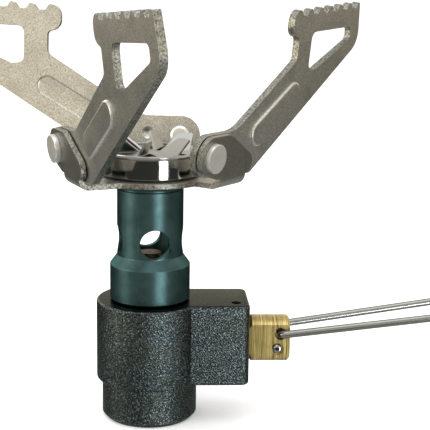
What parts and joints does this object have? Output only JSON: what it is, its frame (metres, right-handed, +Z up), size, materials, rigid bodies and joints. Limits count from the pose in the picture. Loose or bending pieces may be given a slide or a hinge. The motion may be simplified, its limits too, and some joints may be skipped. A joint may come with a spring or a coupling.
{
  "type": "canister stove",
  "caption": "Small screw-on gas canister stove: valve body with threaded socket, mixing tube, burner cup, folding serrated pot arms, brass valve spindle and wire handle.",
  "frame": {"origin": "centre of the mouth of the canister socket, on the axis of the mixing tube", "axes": "+Z up along the mixing tube towards the pot, +X from the tube towards the valve spindle and its wire handle"},
  "size_m": [0.0839, 0.0614, 0.0628],
  "materials": {
    "body_black": "blasted and dark anodised",
    "tube_anodised": "turned and dark teal anodised",
    "titanium": "satin sheet",
    "stainless": "polished",
    "spreader_steel": "bright sheet",
    "rivet_steel": "satin",
    "steel": "satin",
    "wire_steel": "polished wire",
    "brass": "machined",
    "sintered_metal": "porous",
    "rubber": "matt"
  },
  "bodies": {
    "stove": {"valve_body": "body_black", "canister_pin": "brass", "canister_seal": "rubber", "jet": "brass", "jet_filter": "sintered_metal", "retaining_pin": "steel", "mixing_tube": "tube_anodised", "base_plate": "titanium", "burner_cup": "stainless", "flame_spreader": "spreader_steel", "rivet_1": "rivet_steel", "rivet_2": "rivet_steel", "rivet_3": "rivet_steel"},
    "support_arm_1": {"arm_1": "titanium"},
    "support_arm_2": {"arm_2": "titanium"},
    "support_arm_3": {"arm_3": "titanium"},
    "sliding_seal": {"spindle_o_ring": "rubber"},
    "spindle": {"valve_spindle": "brass", "spindle_pin": "steel"},
    "handle": {"wire_handle": "wire_steel"}
  },
  "joints": [
    {"name": "arm_1_fold", "type": "hinge", "parent": "stove", "child": "support_arm_1", "pos_m": [0.00807, -0.01017, 0.04172], "axis": [0.7871, -0.607, -0.1097], "range_deg": [0, 225]},
    {"name": "arm_2_fold", "type": "hinge", "parent": "stove", "child": "support_arm_2", "pos_m": [-0.01284, -0.0019, 0.04172], "axis": [-0.9192, -0.3781, -0.1097], "range_deg": [0, 225]},
    {"name": "arm_3_fold", "type": "hinge", "parent": "stove", "child": "support_arm_3", "pos_m": [0.00478, 0.01207, 0.04172], "axis": [0.1321, 0.9851, -0.1097], "range_deg": [0, 225]},
    {"name": "spindle_travel", "type": "slide", "parent": "stove", "child": "sliding_seal", "axis": [1, 0, 0], "range_m": [0, 0.0012]},
    {"name": "spindle_turn", "type": "hinge", "parent": "sliding_seal", "child": "spindle", "pos_m": [0.0192, 0, 0.012], "axis": [1, 0, 0], "range_deg": [0, 720]},
    {"name": "handle_fold", "type": "hinge", "parent": "spindle", "child": "handle", "pos_m": [0.01995, 0.00004, 0.0132], "axis": [0, -0.9994, 0.0349], "range_deg": [0, 82.4]}
  ],
  "couplings": [
    {"joint": "arm_2_fold", "follows": "arm_1_fold", "ratio": 1},
    {"joint": "arm_3_fold", "follows": "arm_1_fold", "ratio": 1},
    {"joint": "handle_fold", "follows": "arm_1_fold", "ratio": 0.3662},
    {"joint": "spindle_turn", "follows": "spindle_travel", "rad_per_m": 10472}
  ]
}
